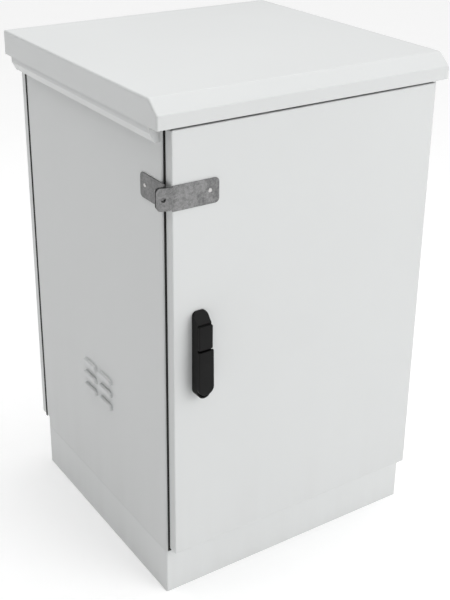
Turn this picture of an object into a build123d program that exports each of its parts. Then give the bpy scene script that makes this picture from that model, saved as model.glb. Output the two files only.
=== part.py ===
from build123d import *
import os
from math import atan2, cos, degrees, pi, radians, sin, tan

os.makedirs("parts", exist_ok=True)

# Driving dimensions in millimetres
# X points right as seen from the door, Y points back, Z points up.
# The origin is the middle of the plinth's underside.

# Body and plinth
body_width = 600.0
body_depth = 540.0
body_height = 868.5
plinth_height = 98.0
panel_sheet = 1.5
plinth_sheet = 2.0
plinth_flange = 35.0
plinth_edge = 1.6
fold_radius = 3.0
seat_gap = 0.3

# Door frame folded out of the side panels, and the rails that close it
return_width = 30.0
front_lip = 14.0
rear_lip = 32.0
sill_height = 38.0
head_height = 31.5
tray_flange = 15.0
tray_corner = 5.0

# Roof cap and its ventilated skirts
roof_side_overhang = 23.0
roof_sheet = 1.5
roof_bend = 4.0
roof_height = 51.5
roof_front_overhang = 26.0
roof_back_overhang = 58.0
roof_lip_height = 49.0
chamfer_depth = 28.0
chamfer_height = 24.0
hat_inset = 70.0
hat_width = 44.0
hat_foot = 26.0
hat_end_gap = 30.0
hat_bolt_inset = 40.0
skirt_drop = 27.5
skirt_flat = 10.0
skirt_slope = 18.0
skirt_gap = 1.5
skirt_inner_height = 25.0
skirt_outer_height = 61.0
skirt_front_inset = 4.0
skirt_back_reach = 31.0
skirt_fold = 2.0
skirt_end_gap = 2.0
skirt_slots = 9
skirt_slot_length = 34.0
skirt_slot_width = 3.0

# Door
door_side_gap = 6.0
door_bottom_gap = 8.0
door_top_gap = 1.5
door_proud = 24.0
door_flange = 20.0
door_sheet = 1.5
door_corner = 2.6
seal_width = 9.0
stiffener_inset = 150.0
stiffener_width = 46.0
stiffener_depth = 16.0
stiffener_foot = 14.0
stiffener_margin = 62.0

# Rear panel
rear_panel_proud = 46.0
rear_panel_flange = 38.0
rear_stud_radius = 3.0
rear_stud_margin = 60.0

# Door hinges
hinge_inset = 13.5
hinge_proud = 14.5
hinge_bottom_margin = 124.0
hinge_top_margin = 125.0
hinge_root_trim = 3.5
hinge_pin_radius = 3.0
hinge_fit = 0.05
hinge_lug_radius = 5.2
hinge_lug_thickness = 4.0
hinge_lug_gap = 0.3
hinge_leaf_length = 56.0
hinge_leaf_sheet = 2.5
hinge_notch_clearance = 2.0
hinge_leaf_gap = 1.0
hinge_pin_lip = 1.0

# Louvres, vent filters
louvre_columns = 2
louvre_rows = 3
louvre_spacing = 66.0
louvre_pitch = 29.0
louvre_rise = 212.5
louvre_length = 53.0
louvre_height = 12.0
louvre_depth = 6.0
louvre_end_radius = 8.0
louvre_crown = 4.0
filter_thickness = 9.0
filter_margin = 12.0

# Padlock hasp
hasp_sheet = 2.0
hasp_height = 46.0
hasp_drop = 120.5
hasp_corner = 8.0
hasp_front_reach = 99.0
hasp_fold_inset = 8.0
hasp_tab_length = 30.0
hasp_tab_height = 41.0
hasp_tab_angle = 15.0
hasp_side_reach = 71.0
hasp_side_fold_proud = 15.0
hasp_side_tab_length = 19.0
padlock_radius = 4.5
padlock_proud = 9.0
rivet_radius = 2.0
rivet_head_radius = 4.0
rivet_head_height = 1.2
rivet_rise = 2.0
front_rivet_margin = 19.0
side_rivet_margins = (17.0, 55.0)

# Swing handle
handle_inset = 59.0
spindle_rise = 368.0
dish_length = 158.0
dish_width = 29.0
dish_depth = 19.5
dish_wall = 2.2
dish_floor = 3.0
dish_top_corner = 9.0
dome_run = 20.0
dome_drop = 17.0
dish_cavity_length = 117.0
lever_length = 85.0
lever_heel = 5.0
lever_top_width = 31.5
lever_bottom_width = 34.0
lever_gap = 1.8
lever_thickness = 6.2
lever_edge = 2.2
lever_pin_depth = 16.0
lever_pin_radius = 2.0
lever_ear = 4.4
lever_ear_thickness = 4.0
ear_round_gap = 0.4
ear_face_gap = 0.6
ear_side_gap = 0.2
ear_root = 1.0
lever_foot_flat = 1.0
hub_radius = 9.5
hub_tongue = 9.0
spindle_radius = 5.95
spindle_square = 8.0
running_fit = 0.05
cover_start = 88.3
cover_length = 47.2
cover_width = 28.6
cover_thickness = 5.6
cover_wall = 2.0
cover_pivot_rise = 126.0
cover_pivot_radius = 2.0
cylinder_rise = 104.0
cylinder_radius = 9.0
cylinder_back_gap = 6.0
cylinder_recess = 2.0
plug_radius = 6.0
key_slot_length = 8.0
key_slot_width = 1.6

# Rack and pinion gearbox, locking rods and the side tongue
gear_module = 1.25
pinion_teeth = 18
pressure_angle = 20.0
backlash = 0.15
rack_teeth = 8
rod_depth = 8.0
rod_thickness = 5.0
rod_clearance = 1.5
rod_tip_gap = 5.0
rod_fit = 0.3
gearbox_height = 50.0
gearbox_wall = 1.7
gearbox_cover_sheet = 2.0
collar_radius = 7.0
collar_gap = 0.5
square_shoulder = 1.0
tongue_gap = 1.0
tongue_reach = 34.0
tongue_width = 14.0
tongue_thickness = 4.0
guide_bottom_margin = 94.0
guide_top_margin = 95.0
guide_size = 16.0

# Equipment rails
rail_setback = 100.0
rail_face = 43.5
rail_leg = 24.0
rail_sheet = 2.0
rail_opening = 450.0
rail_hole = 9.5
rail_unit = 44.45
rail_units = 16
rail_hole_inset = 7.9
rail_rise = 67.0
cross_rail_height = 40.0
cross_rail_end_gap = 18.5
cross_rail_bottom_margin = 87.0
cross_rail_top_margin = 98.5

# Cable entry, earthing and fixings
entry_width = 300.0
entry_depth = 110.0
entry_inset = 160.0
gland_plate_sheet = 2.0
gland_plate_lap = 20.0
gland_count = 3
gland_spacing = 80.0
gland_thread_radius = 16.0
gland_hole_clearance = 0.05
gland_bore_radius = 9.0
gland_nut_radius = 21.0
gland_nut_height = 8.0
gland_dome_height = 24.0
earth_stud_radius = 4.0
earth_stud_height = 26.0
earth_stud_side_inset = 100.0
earth_stud_front_inset = 90.0
anchor_radius = 7.0
anchor_inset = 20.0
plinth_bolt_radius = 5.0
plinth_bolt_end_inset = 120.0
plinth_bolt_inset = 22.0
bolt_radius = 4.0
head_height_ratio = 1.3
nut_height_ratio = 1.6

# Places worked out from the driving dimensions
half_width = body_width / 2
half_depth = body_depth / 2
body_top = plinth_height + body_height
outer_bend = fold_radius + panel_sheet / 2
inner_width = body_width - 2 * panel_sheet
inner_depth = body_depth - 2 * panel_sheet
lip_outer = half_width - return_width
lip_inner = lip_outer - panel_sheet
sill_top = plinth_height + sill_height
head_bottom = body_top - head_height
roof_width = body_width + 2 * roof_side_overhang
roof_front = half_depth + roof_front_overhang
roof_back = half_depth + roof_back_overhang
roof_top = body_top + roof_height
roof_lip_bottom = roof_top - roof_lip_height
hat_spacing = body_depth - 2 * hat_inset
hat_length = body_width - 2 * hat_end_gap
skirt_bottom = body_top - skirt_drop
skirt_inner_top = skirt_bottom + skirt_inner_height
skirt_outer_top = skirt_bottom + skirt_outer_height
skirt_front = half_depth - skirt_front_inset
skirt_back = half_depth + skirt_back_reach
door_width = body_width - 2 * door_side_gap
door_bottom = plinth_height + door_bottom_gap
door_top = body_top - door_top_gap
door_face = half_depth + door_proud
door_inside = door_face - door_sheet
door_half = door_width / 2
stiffener_x = half_width - stiffener_inset
hinge_axis_x = half_width - hinge_inset
hinge_axis_y = half_depth + hinge_proud
hinge_heights = (door_bottom + hinge_bottom_margin, door_top - hinge_top_margin)
louvre_lowest_lip = plinth_height + louvre_rise
hasp_middle = body_top - hasp_drop
hasp_front_end = half_width - hasp_front_reach
hasp_front_fold = half_width - hasp_fold_inset
hasp_side_end = half_depth - hasp_side_reach
hasp_side_fold = half_depth + hasp_side_fold_proud
padlock_x = half_width + padlock_proud
front_rivet_x = hasp_front_end + front_rivet_margin
side_rivets_y = [-hasp_side_end - margin for margin in side_rivet_margins]
handle_x = -half_width + handle_inset
spindle_height = plinth_height + spindle_rise
dish_top = spindle_height + dish_length
dish_cavity_top = spindle_height + dish_cavity_length
lever_top = spindle_height + lever_length
lever_bottom = spindle_height - lever_heel
cover_bottom = spindle_height + cover_start
cover_top = cover_bottom + cover_length
cover_pivot_height = spindle_height + cover_pivot_rise
cylinder_height = spindle_height + cylinder_rise
cylinder_back = half_depth + cylinder_back_gap
rod_upper_tip = head_bottom - rod_tip_gap
rod_lower_tip = sill_top + rod_tip_gap
guide_heights = (door_bottom + guide_bottom_margin, door_top - guide_top_margin)
rail_bottom = plinth_height + rail_rise
cross_rail_depth = half_width - panel_sheet - rail_opening / 2 - rail_face
cross_rail_length = inner_depth - 2 * cross_rail_end_gap
cross_rail_levels = (plinth_height + cross_rail_bottom_margin, body_top - cross_rail_top_margin)
entry_back = half_depth - entry_inset
earth_stud_x = half_width - earth_stud_side_inset
earth_stud_y = -half_depth + earth_stud_front_inset
plinth_bolt_y = half_depth - plinth_bolt_end_inset
rear_face = half_depth + rear_panel_proud
rear_inside = rear_face - panel_sheet
door_seal_back = half_depth + front_lip + seat_gap
rear_seal_front = half_depth + rear_lip + seat_gap
hat_top = roof_top - roof_sheet
louvre_middle = louvre_lowest_lip + (louvre_rows - 1) * louvre_pitch / 2 + louvre_height / 2


def folded(plane, points, length, sheet, radius=fold_radius):
    """A folded sheet: the middle line of its section in a plane, pushed out along the normal."""
    with BuildPart() as strip:
        with BuildSketch(plane):
            with BuildLine():
                FilletPolyline(*points, radius=radius)
            trace(line_width=sheet)
        extrude(amount=length)
    return strip.part


def blind_rivet(plane, grip):
    """A rivet on a sheet's outer face: a chamfered head outside and a shank through the grip."""
    with BuildPart() as rivet:
        with BuildSketch(plane):
            Circle(rivet_head_radius)
        extrude(amount=rivet_head_height)
        chamfer(rivet.faces().sort_by(Axis((0, 0, 0), plane.z_dir))[-1].edges(), rivet_head_height * 0.7)
        with BuildSketch(plane):
            Circle(rivet_radius)
        extrude(amount=-grip)
    return rivet.part


# Plinth: one welded frame of folded sheet, with an inward flange at its foot and its head
anchor_x = body_width - 2 * anchor_inset
anchor_y = body_depth - 2 * anchor_inset
plinth_bolt_x = body_width - 2 * plinth_bolt_inset
with BuildPart() as plinth:
    with BuildSketch():
        RectangleRounded(body_width, body_depth, outer_bend)
    extrude(amount=plinth_height)
    fillet(plinth.faces().sort_by(Axis.Z)[-1].edges(), plinth_edge)
    with BuildSketch(Plane.XY.offset(plinth_sheet)):
        RectangleRounded(
            body_width - 2 * plinth_sheet, body_depth - 2 * plinth_sheet, outer_bend - plinth_sheet
        )
    extrude(amount=plinth_height - 2 * plinth_sheet, mode=Mode.SUBTRACT)
    with BuildSketch():
        Rectangle(body_width - 2 * plinth_flange, body_depth - 2 * plinth_flange)
    extrude(amount=plinth_height, mode=Mode.SUBTRACT)
    with BuildSketch():
        with GridLocations(anchor_x, anchor_y, 2, 2):
            Circle(anchor_radius)
    extrude(amount=plinth_sheet, mode=Mode.SUBTRACT)
    with BuildSketch(Plane.XY.offset(plinth_height)):
        with GridLocations(plinth_bolt_x, 2 * plinth_bolt_y, 2, 2):
            Circle(plinth_bolt_radius + hinge_fit)
    extrude(amount=-plinth_sheet, mode=Mode.SUBTRACT)
plinth.part.label = "plinth"
export_step(plinth.part, "parts/plinth.step")

# Base tray: floor of the body with its rim turned up inside the walls
with BuildPart() as base_tray:
    with BuildSketch(Plane.XY.offset(plinth_height)):
        RectangleRounded(inner_width, inner_depth, tray_corner)
    extrude(amount=tray_flange)
    with BuildSketch(Plane.XY.offset(plinth_height + panel_sheet)):
        RectangleRounded(
            inner_width - 2 * panel_sheet, inner_depth - 2 * panel_sheet, tray_corner - panel_sheet
        )
    extrude(amount=tray_flange, mode=Mode.SUBTRACT)
    with BuildSketch(Plane.XY.offset(plinth_height)):
        with Locations((0, entry_back)):
            Rectangle(entry_width, entry_depth)
        with GridLocations(plinth_bolt_x, 2 * plinth_bolt_y, 2, 2):
            Circle(plinth_bolt_radius + hinge_fit)
        with Locations((earth_stud_x, earth_stud_y)):
            Circle(earth_stud_radius + hinge_fit)
    extrude(amount=panel_sheet, mode=Mode.SUBTRACT)
base_tray.part.label = "base_tray"
export_step(base_tray.part, "parts/base_tray.step")

# Top tray: inner ceiling with its rim turned down, slotted so that warm air reaches the roof
hat_foot_offset = hat_width / 2 + hat_foot / 2
hat_bolt_x = hat_length - 2 * hat_bolt_inset
with BuildPart() as top_tray:
    with BuildSketch(Plane.XY.offset(body_top)):
        RectangleRounded(inner_width, inner_depth, tray_corner)
    extrude(amount=-tray_flange)
    with BuildSketch(Plane.XY.offset(body_top - panel_sheet)):
        RectangleRounded(
            inner_width - 2 * panel_sheet, inner_depth - 2 * panel_sheet, tray_corner - panel_sheet
        )
    extrude(amount=-tray_flange, mode=Mode.SUBTRACT)
    with BuildSketch(Plane.XY.offset(body_top)):
        with GridLocations(skirt_slot_length * 1.5, skirt_slot_width * 6, 8, 2):
            Rectangle(skirt_slot_length, skirt_slot_width * 2)
        for row in (-1, 1):
            with Locations((0, row * hat_spacing / 2 + hat_foot_offset)):
                with GridLocations(hat_bolt_x, 1, 2, 1):
                    Circle(bolt_radius + hinge_fit)
    extrude(amount=-panel_sheet, mode=Mode.SUBTRACT)
top_tray.part.label = "top_tray"
export_step(top_tray.part, "parts/top_tray.step")

# One louvre on the left panel: a pressed hood, closed above and at both ends, open below
with BuildPart() as louvre_hood:
    with BuildSketch(Plane.YZ.offset(-half_width)):
        with Locations((0, louvre_height / 2)):
            hood = Rectangle(louvre_length, louvre_height)
        fillet(hood.vertices().group_by(Axis.Y)[-1], louvre_end_radius)
    extrude(amount=-louvre_depth)
    hood_face = louvre_hood.faces().sort_by(Axis.X)[0]
    fillet(hood_face.edges().sort_by(Axis.Z)[1:], louvre_crown)
with BuildPart() as louvre_hollow:
    with BuildSketch(Plane.YZ.offset(-half_width + panel_sheet)):
        with Locations((0, (louvre_height - panel_sheet) / 2)):
            hollow = Rectangle(louvre_length - 2 * panel_sheet, louvre_height - panel_sheet)
        fillet(hollow.vertices().group_by(Axis.Y)[-1], louvre_end_radius - panel_sheet)
    extrude(amount=-louvre_depth)
    hollow_face = louvre_hollow.faces().sort_by(Axis.X)[0]
    chamfer(hollow_face.edges().sort_by(Axis.Z)[1:], louvre_crown - panel_sheet)
louvre_places = [
    (0, (column - (louvre_columns - 1) / 2) * louvre_spacing, louvre_lowest_lip + row * louvre_pitch)
    for column in range(louvre_columns)
    for row in range(louvre_rows)
]

# Side panels: one sheet each, folded in at front and back to make the frames of door and rear panel
half_sheet = panel_sheet / 2
panel_line = [
    (-lip_outer + half_sheet, -half_depth - front_lip),
    (-lip_outer + half_sheet, -half_depth + half_sheet),
    (-half_width + half_sheet, -half_depth + half_sheet),
    (-half_width + half_sheet, half_depth - half_sheet),
    (-lip_outer + half_sheet, half_depth - half_sheet),
    (-lip_outer + half_sheet, half_depth + rear_lip),
]
rear_stud_x = (half_width + lip_outer) / 2
rear_stud_levels = (door_bottom + rear_stud_margin, door_top - rear_stud_margin)
with BuildPart() as plain_side:
    add(folded(Plane.XY.offset(plinth_height), panel_line, body_height, panel_sheet))
    for level, height in (
        (plinth_height, sill_height - panel_sheet),
        (head_bottom + panel_sheet, head_height - panel_sheet),
    ):
        with BuildSketch(Plane.XY.offset(level)):
            with Locations((-lip_outer, -half_depth - front_lip / 2)):
                Rectangle(2 * fold_radius, front_lip)
            with Locations((-lip_outer, half_depth + rear_lip / 2)):
                Rectangle(2 * fold_radius, rear_lip)
        extrude(amount=height, mode=Mode.SUBTRACT)
    with Locations(*louvre_places):
        add(louvre_hood.part)
    with Locations(*louvre_places):
        add(louvre_hollow.part, mode=Mode.SUBTRACT)
    with BuildSketch(Plane.XZ.offset(-half_depth)):
        with Locations(*[(-rear_stud_x, level) for level in rear_stud_levels]):
            Circle(rear_stud_radius + hinge_fit)
    extrude(amount=panel_sheet, mode=Mode.SUBTRACT)
with BuildPart() as side_panel_left:
    add(plain_side.part)
    with BuildSketch(Plane.YZ.offset(-half_width)):
        with Locations(*[(y, hasp_middle + rivet_rise) for y in side_rivets_y]):
            Circle(rivet_radius)
    extrude(amount=panel_sheet, mode=Mode.SUBTRACT)
side_panel_left.part.label = "side_panel_left"
export_step(side_panel_left.part, "parts/side_panel_left.step")
with BuildPart() as side_panel_right:
    add(mirror(plain_side.part, about=Plane.YZ, mode=Mode.PRIVATE))
side_panel_right.part.label = "side_panel_right"
export_step(side_panel_right.part, "parts/side_panel_right.step")

# Head and sill rails: angles between the side panels, each with a lip for the seal
rail_start = Plane.YZ.offset(-lip_inner)
for name, edge, lip_level, end_level in (
    ("sill", 1, sill_top - half_sheet, plinth_height),
    ("head", 1, head_bottom + half_sheet, body_top),
):
    for place, way, lip in (("front", -1, front_lip), ("rear", 1, rear_lip)):
        rail_line = [
            (way * (half_depth + lip), lip_level),
            (way * (half_depth - half_sheet), lip_level),
            (way * (half_depth - half_sheet), end_level),
        ]
        with BuildPart() as frame_rail:
            add(folded(rail_start, rail_line, 2 * lip_inner, panel_sheet))
        frame_rail.part.label = f"{place}_{name}_rail"
        export_step(frame_rail.part, f"parts/{place}_{name}_rail.step")

# Roof cap: one folded and welded sheet, open below
roof_outline = [
    (-roof_front, roof_lip_bottom),
    (-roof_front, roof_top - chamfer_height),
    (-roof_front + chamfer_depth, roof_top),
    (roof_back, roof_top),
    (roof_back, roof_lip_bottom),
]
with BuildPart() as roof_cap:
    with BuildSketch(Plane.YZ.offset(-roof_width / 2)):
        Polygon(*roof_outline, align=None)
    extrude(amount=roof_width)
    fillet(roof_cap.edges().filter_by(lambda edge: edge.center().Z > roof_lip_bottom + 1), roof_bend)
    offset(amount=-roof_sheet, openings=roof_cap.faces().sort_by(Axis.Z)[0])
roof_cap.part.label = "roof_cap"
export_step(roof_cap.part, "parts/roof_cap.step")

# Roof channels: two hat sections that carry the roof cap above the ceiling
for name, way in (("front", -1), ("rear", 1)):
    middle = way * hat_spacing / 2
    hat_line = [
        (middle - hat_width / 2 - hat_foot, body_top + half_sheet),
        (middle - hat_width / 2, body_top + half_sheet),
        (middle - hat_width / 2, hat_top - half_sheet),
        (middle + hat_width / 2, hat_top - half_sheet),
        (middle + hat_width / 2, body_top + half_sheet),
        (middle + hat_width / 2 + hat_foot, body_top + half_sheet),
    ]
    with BuildPart() as roof_channel:
        add(folded(Plane.YZ.offset(-hat_length / 2), hat_line, hat_length, panel_sheet))
        with BuildSketch(Plane.XY.offset(body_top)):
            with Locations((0, middle + hat_foot_offset)):
                with GridLocations(hat_bolt_x, 1, 2, 1):
                    Circle(bolt_radius + hinge_fit)
        extrude(amount=panel_sheet, mode=Mode.SUBTRACT)
    roof_channel.part.label = f"roof_channel_{name}"
    export_step(roof_channel.part, f"parts/roof_channel_{name}.step")

# Roof bolts: from inside, up through the ceiling and one foot of each channel
roof_bolt_places = [
    (x, way * hat_spacing / 2 + hat_foot_offset)
    for way in (-1, 1)
    for x in (-hat_bolt_x / 2, hat_bolt_x / 2)
]
with BuildPart() as roof_bolts:
    with BuildSketch(Plane.XY.offset(body_top - panel_sheet)):
        with Locations(*roof_bolt_places):
            RegularPolygon(bolt_radius * 1.8, 6)
    extrude(amount=-bolt_radius * head_height_ratio)
    with BuildSketch(Plane.XY.offset(body_top - panel_sheet)):
        with Locations(*roof_bolt_places):
            Circle(bolt_radius)
    extrude(amount=3 * panel_sheet + 2.6 * bolt_radius)
    with BuildSketch(Plane.XY.offset(body_top + panel_sheet)):
        with Locations(*roof_bolt_places):
            RegularPolygon(bolt_radius * 1.8, 6)
    extrude(amount=bolt_radius * nut_height_ratio)
roof_bolts.part.label = "roof_bolts"
export_step(roof_bolts.part, "parts/roof_bolts.step")

# Drip skirts: troughs under the roof's long edges, with end plates and outlet slots below
skirt_outer = roof_width / 2 - roof_sheet - skirt_gap
skirt_line = [
    (-half_width - half_sheet, skirt_inner_top),
    (-half_width - half_sheet, skirt_bottom + half_sheet),
    (-half_width - skirt_flat + half_sheet, skirt_bottom + half_sheet),
    (-skirt_outer + half_sheet, skirt_bottom + skirt_slope),
    (-skirt_outer + half_sheet, skirt_outer_top),
]
skirt_end_outline = [
    (-half_width - skirt_end_gap, skirt_outer_top),
    (-half_width - skirt_end_gap, skirt_bottom),
    (-half_width - skirt_flat, skirt_bottom),
    (-skirt_outer, skirt_bottom + skirt_slope),
    (-skirt_outer, skirt_outer_top),
]
with BuildPart() as drip_skirt_left:
    add(folded(Plane.XZ.offset(-skirt_back), skirt_line, skirt_back + skirt_front, panel_sheet, skirt_fold))
    for end in (skirt_front - panel_sheet, -skirt_back):
        with BuildSketch(Plane.XZ.offset(end)):
            Polygon(*skirt_end_outline, align=None)
        extrude(amount=panel_sheet)
    with BuildSketch(Plane.XY.offset(skirt_bottom)):
        with Locations((-half_width - skirt_flat / 2, 0)):
            with GridLocations(1, skirt_slot_length * 1.6, 1, skirt_slots):
                Rectangle(skirt_slot_width, skirt_slot_length)
    extrude(amount=panel_sheet, mode=Mode.SUBTRACT)
drip_skirt_left.part.label = "drip_skirt_left"
export_step(drip_skirt_left.part, "parts/drip_skirt_left.step")
with BuildPart() as drip_skirt_right:
    add(mirror(drip_skirt_left.part, about=Plane.YZ, mode=Mode.PRIVATE))
drip_skirt_right.part.label = "drip_skirt_right"
export_step(drip_skirt_right.part, "parts/drip_skirt_right.step")

# Rear panel: a deep pan with four studs welded inside that pass through the rear frame
door_middle = (door_bottom + door_top) / 2
door_height = door_top - door_bottom
rear_stud_places = [(x, z) for x in (-rear_stud_x, rear_stud_x) for z in rear_stud_levels]
rear_stud_length = rear_inside - half_depth + panel_sheet + 3.2 * rear_stud_radius
with BuildPart() as rear_panel:
    with BuildSketch(Plane.XZ.offset(-rear_face)):
        with Locations((0, door_middle)):
            RectangleRounded(door_width, door_height, door_corner * 3)
    extrude(amount=rear_panel_flange)
    fillet(rear_panel.faces().sort_by(Axis.Y)[-1].edges(), door_corner)
    offset(amount=-panel_sheet, openings=rear_panel.faces().sort_by(Axis.Y)[0])
    with BuildSketch(Plane.XZ.offset(-rear_inside)):
        with Locations(*rear_stud_places):
            Circle(rear_stud_radius)
    extrude(amount=rear_stud_length)
rear_panel.part.label = "rear_panel"
export_step(rear_panel.part, "parts/rear_panel.step")

with BuildPart() as rear_panel_nuts:
    with BuildSketch(Plane.XZ.offset(-half_depth + panel_sheet)):
        with Locations(*rear_stud_places):
            RegularPolygon(rear_stud_radius * 2, 6)
            Circle(rear_stud_radius + hinge_fit, mode=Mode.SUBTRACT)
    extrude(amount=rear_stud_radius * 1.7)
rear_panel_nuts.part.label = "rear_panel_nuts"
export_step(rear_panel_nuts.part, "parts/rear_panel_nuts.step")

# Seals: rubber strips in the two pans, met by the lips of the body
seal_span_x = 2 * (lip_outer - half_sheet)
seal_span_z = head_bottom - sill_top + panel_sheet
seal_middle = (head_bottom + sill_top) / 2
for name, back, front in (
    ("door_seal", -door_seal_back, -door_inside),
    ("rear_seal", rear_inside, rear_seal_front),
):
    with BuildPart() as seal:
        with BuildSketch(Plane.XZ.offset(-back)):
            with Locations((0, seal_middle)):
                Rectangle(seal_span_x + seal_width, seal_span_z + seal_width)
                Rectangle(seal_span_x - seal_width, seal_span_z - seal_width, mode=Mode.SUBTRACT)
        extrude(amount=back - front)
    seal.part.label = name
    export_step(seal.part, f"parts/{name}.step")

# Door: a folded pan with cut-outs for the hinges, the handle and the hasp rivet
notch_depth = door_face - half_depth + hinge_lug_radius
cutout_bottom = spindle_height - hub_radius
cutout_top = cylinder_height + cylinder_radius + running_fit
with BuildPart() as door_panel:
    with BuildSketch(Plane.XZ.offset(door_face - door_flange)):
        with Locations((0, door_middle)):
            RectangleRounded(door_width, door_height, door_corner)
    extrude(amount=door_flange)
    fillet(door_panel.faces().sort_by(Axis.Y)[0].edges(), door_corner)
    offset(amount=-door_sheet, openings=door_panel.faces().sort_by(Axis.Y)[-1])
    with BuildSketch(Plane.YZ.offset(door_half - 2 * door_sheet)):
        for level in hinge_heights:
            notch_height = hinge_lug_thickness + hinge_notch_clearance
            notch_middle = level + notch_height / 2 - hinge_notch_clearance
            with Locations((-door_inside + door_corner + notch_depth / 2, notch_middle)):
                Rectangle(notch_depth, notch_height)
    extrude(amount=3 * door_sheet, mode=Mode.SUBTRACT)
    with BuildSketch(Plane.XZ.offset(door_inside)):
        with Locations((handle_x, (cutout_bottom + cutout_top) / 2)):
            SlotOverall(cutout_top - cutout_bottom, 2 * hub_radius, rotation=90)
        with Locations((-front_rivet_x, hasp_middle + rivet_rise)):
            Circle(rivet_radius)
    extrude(amount=door_sheet, mode=Mode.SUBTRACT)
door_panel.part.label = "door_panel"
export_step(door_panel.part, "parts/door_panel.step")

# Door stiffener: an upright hat section welded inside the pan
stiffener_back = door_inside - stiffener_depth
stiffener_line = [
    (stiffener_x - stiffener_width / 2 - stiffener_foot, -door_inside + half_sheet),
    (stiffener_x - stiffener_width / 2, -door_inside + half_sheet),
    (stiffener_x - stiffener_width / 2, -stiffener_back - half_sheet),
    (stiffener_x + stiffener_width / 2, -stiffener_back - half_sheet),
    (stiffener_x + stiffener_width / 2, -door_inside + half_sheet),
    (stiffener_x + stiffener_width / 2 + stiffener_foot, -door_inside + half_sheet),
]
stiffener_bottom = Plane.XY.offset(door_bottom + stiffener_margin)
with BuildPart() as door_stiffener:
    add(folded(stiffener_bottom, stiffener_line, door_height - 2 * stiffener_margin, panel_sheet))
door_stiffener.part.label = "door_stiffener"
export_step(door_stiffener.part, "parts/door_stiffener.step")

# Hinges: a lug on the frame's lip, a lug on the door's flange and a pin through both
lug_root = lip_outer + hinge_leaf_sheet
lug_root_front = hinge_axis_y - hinge_root_trim
lug_root_back = half_depth + fold_radius
for name, level in zip(("lower", "upper"), hinge_heights):
    with BuildPart() as frame_leaf:
        with BuildSketch(Plane.XY.offset(level)):
            with Locations((hinge_axis_x, -hinge_axis_y)):
                Circle(hinge_lug_radius)
            with BuildLine():
                Polyline(
                    (lip_outer, -lug_root_front),
                    (hinge_axis_x, -hinge_axis_y - hinge_lug_radius),
                    (hinge_axis_x, -hinge_axis_y + hinge_lug_radius),
                    (lug_root, -lug_root_back),
                    (lip_outer, -lug_root_back),
                    close=True,
                )
            make_face()
            with Locations((hinge_axis_x, -hinge_axis_y)):
                Circle(hinge_pin_radius + hinge_fit, mode=Mode.SUBTRACT)
        extrude(amount=hinge_lug_thickness)
        with BuildSketch(Plane.YZ.offset(lip_outer)):
            leaf_middle = level + hinge_lug_thickness - hinge_leaf_length / 2
            with Locations((-(lug_root_front + lug_root_back) / 2, leaf_middle)):
                Rectangle(lug_root_front - lug_root_back, hinge_leaf_length)
        extrude(amount=hinge_leaf_sheet)
    frame_leaf.part.label = f"hinge_frame_leaf_{name}"
    export_step(frame_leaf.part, f"parts/hinge_frame_leaf_{name}.step")

    leaf_outer = door_half - door_sheet
    leaf_inner = leaf_outer - hinge_leaf_sheet
    leaf_bottom = level + hinge_lug_thickness + hinge_lug_gap
    leaf_front = door_inside - door_corner
    leaf_back = hinge_axis_y - hinge_lug_radius - hinge_leaf_gap
    with BuildPart() as door_leaf:
        with BuildSketch(Plane.XY.offset(leaf_bottom)):
            with Locations((hinge_axis_x, -hinge_axis_y)):
                Circle(hinge_lug_radius)
                Circle(hinge_pin_radius + hinge_fit, mode=Mode.SUBTRACT)
        extrude(amount=hinge_lug_thickness)
        with BuildSketch(Plane.YZ.offset(leaf_inner)):
            with Locations((-(leaf_front + leaf_back) / 2, leaf_bottom + hinge_leaf_length / 2)):
                Rectangle(leaf_front - leaf_back, hinge_leaf_length)
        extrude(amount=hinge_leaf_sheet)
        with BuildSketch(Plane.XY.offset(leaf_bottom)):
            with Locations((hinge_axis_x, -hinge_axis_y)):
                Circle(hinge_pin_radius + hinge_fit)
        extrude(amount=hinge_lug_thickness, mode=Mode.SUBTRACT)
    door_leaf.part.label = f"hinge_door_leaf_{name}"
    export_step(door_leaf.part, f"parts/hinge_door_leaf_{name}.step")

with BuildPart() as hinge_pins:
    for level in hinge_heights:
        with BuildSketch(Plane.XY.offset(level)):
            with Locations((hinge_axis_x, -hinge_axis_y)):
                Circle(hinge_pin_radius)
        extrude(amount=2 * hinge_lug_thickness + hinge_lug_gap + hinge_pin_radius)
        with BuildSketch(Plane.XY.offset(level)):
            with Locations((hinge_axis_x, -hinge_axis_y)):
                Circle(hinge_pin_radius + hinge_pin_lip)
        extrude(amount=-hinge_pin_radius / 2)
hinge_pins.part.label = "hinge_pins"
export_step(hinge_pins.part, "parts/hinge_pins.step")

# Hasp: two bent strips, one on the door and one on the left panel, whose tabs take a padlock
tab_x = cos(radians(hasp_tab_angle))
tab_y = sin(radians(hasp_tab_angle))
hasp_bottom = hasp_middle - hasp_height / 2
half_hasp = hasp_sheet / 2
front_line_y = -door_face - half_hasp
front_tab_end = (-hasp_front_fold - hasp_tab_length * tab_x, front_line_y + hasp_tab_length * tab_y)
front_hasp_line = [(-hasp_front_end, front_line_y), (-hasp_front_fold, front_line_y), front_tab_end]
side_line_x = -half_width - half_hasp
side_tab_end = (side_line_x - hasp_side_tab_length * tab_x, -hasp_side_fold + hasp_side_tab_length * tab_y)
side_hasp_line = [(side_line_x, -hasp_side_end), (side_line_x, -hasp_side_fold), side_tab_end]
padlock_y = front_line_y + (padlock_x - hasp_front_fold) * tan(radians(hasp_tab_angle))
padlock_plane = Plane(
    origin=(-padlock_x, padlock_y, hasp_middle),
    x_dir=(-tab_x, tab_y, 0),
    z_dir=(-tab_y, -tab_x, 0),
)
tab_trim = (hasp_height - hasp_tab_height) / 2
tab_spacing = (side_line_x + hasp_front_fold) * tab_y - (hasp_side_fold + front_line_y) * tab_x
with BuildPart() as padlock_hole:
    with BuildSketch(padlock_plane.offset(hasp_sheet)):
        Circle(padlock_radius)
    extrude(amount=-tab_spacing - 2 * hasp_sheet)

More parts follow.
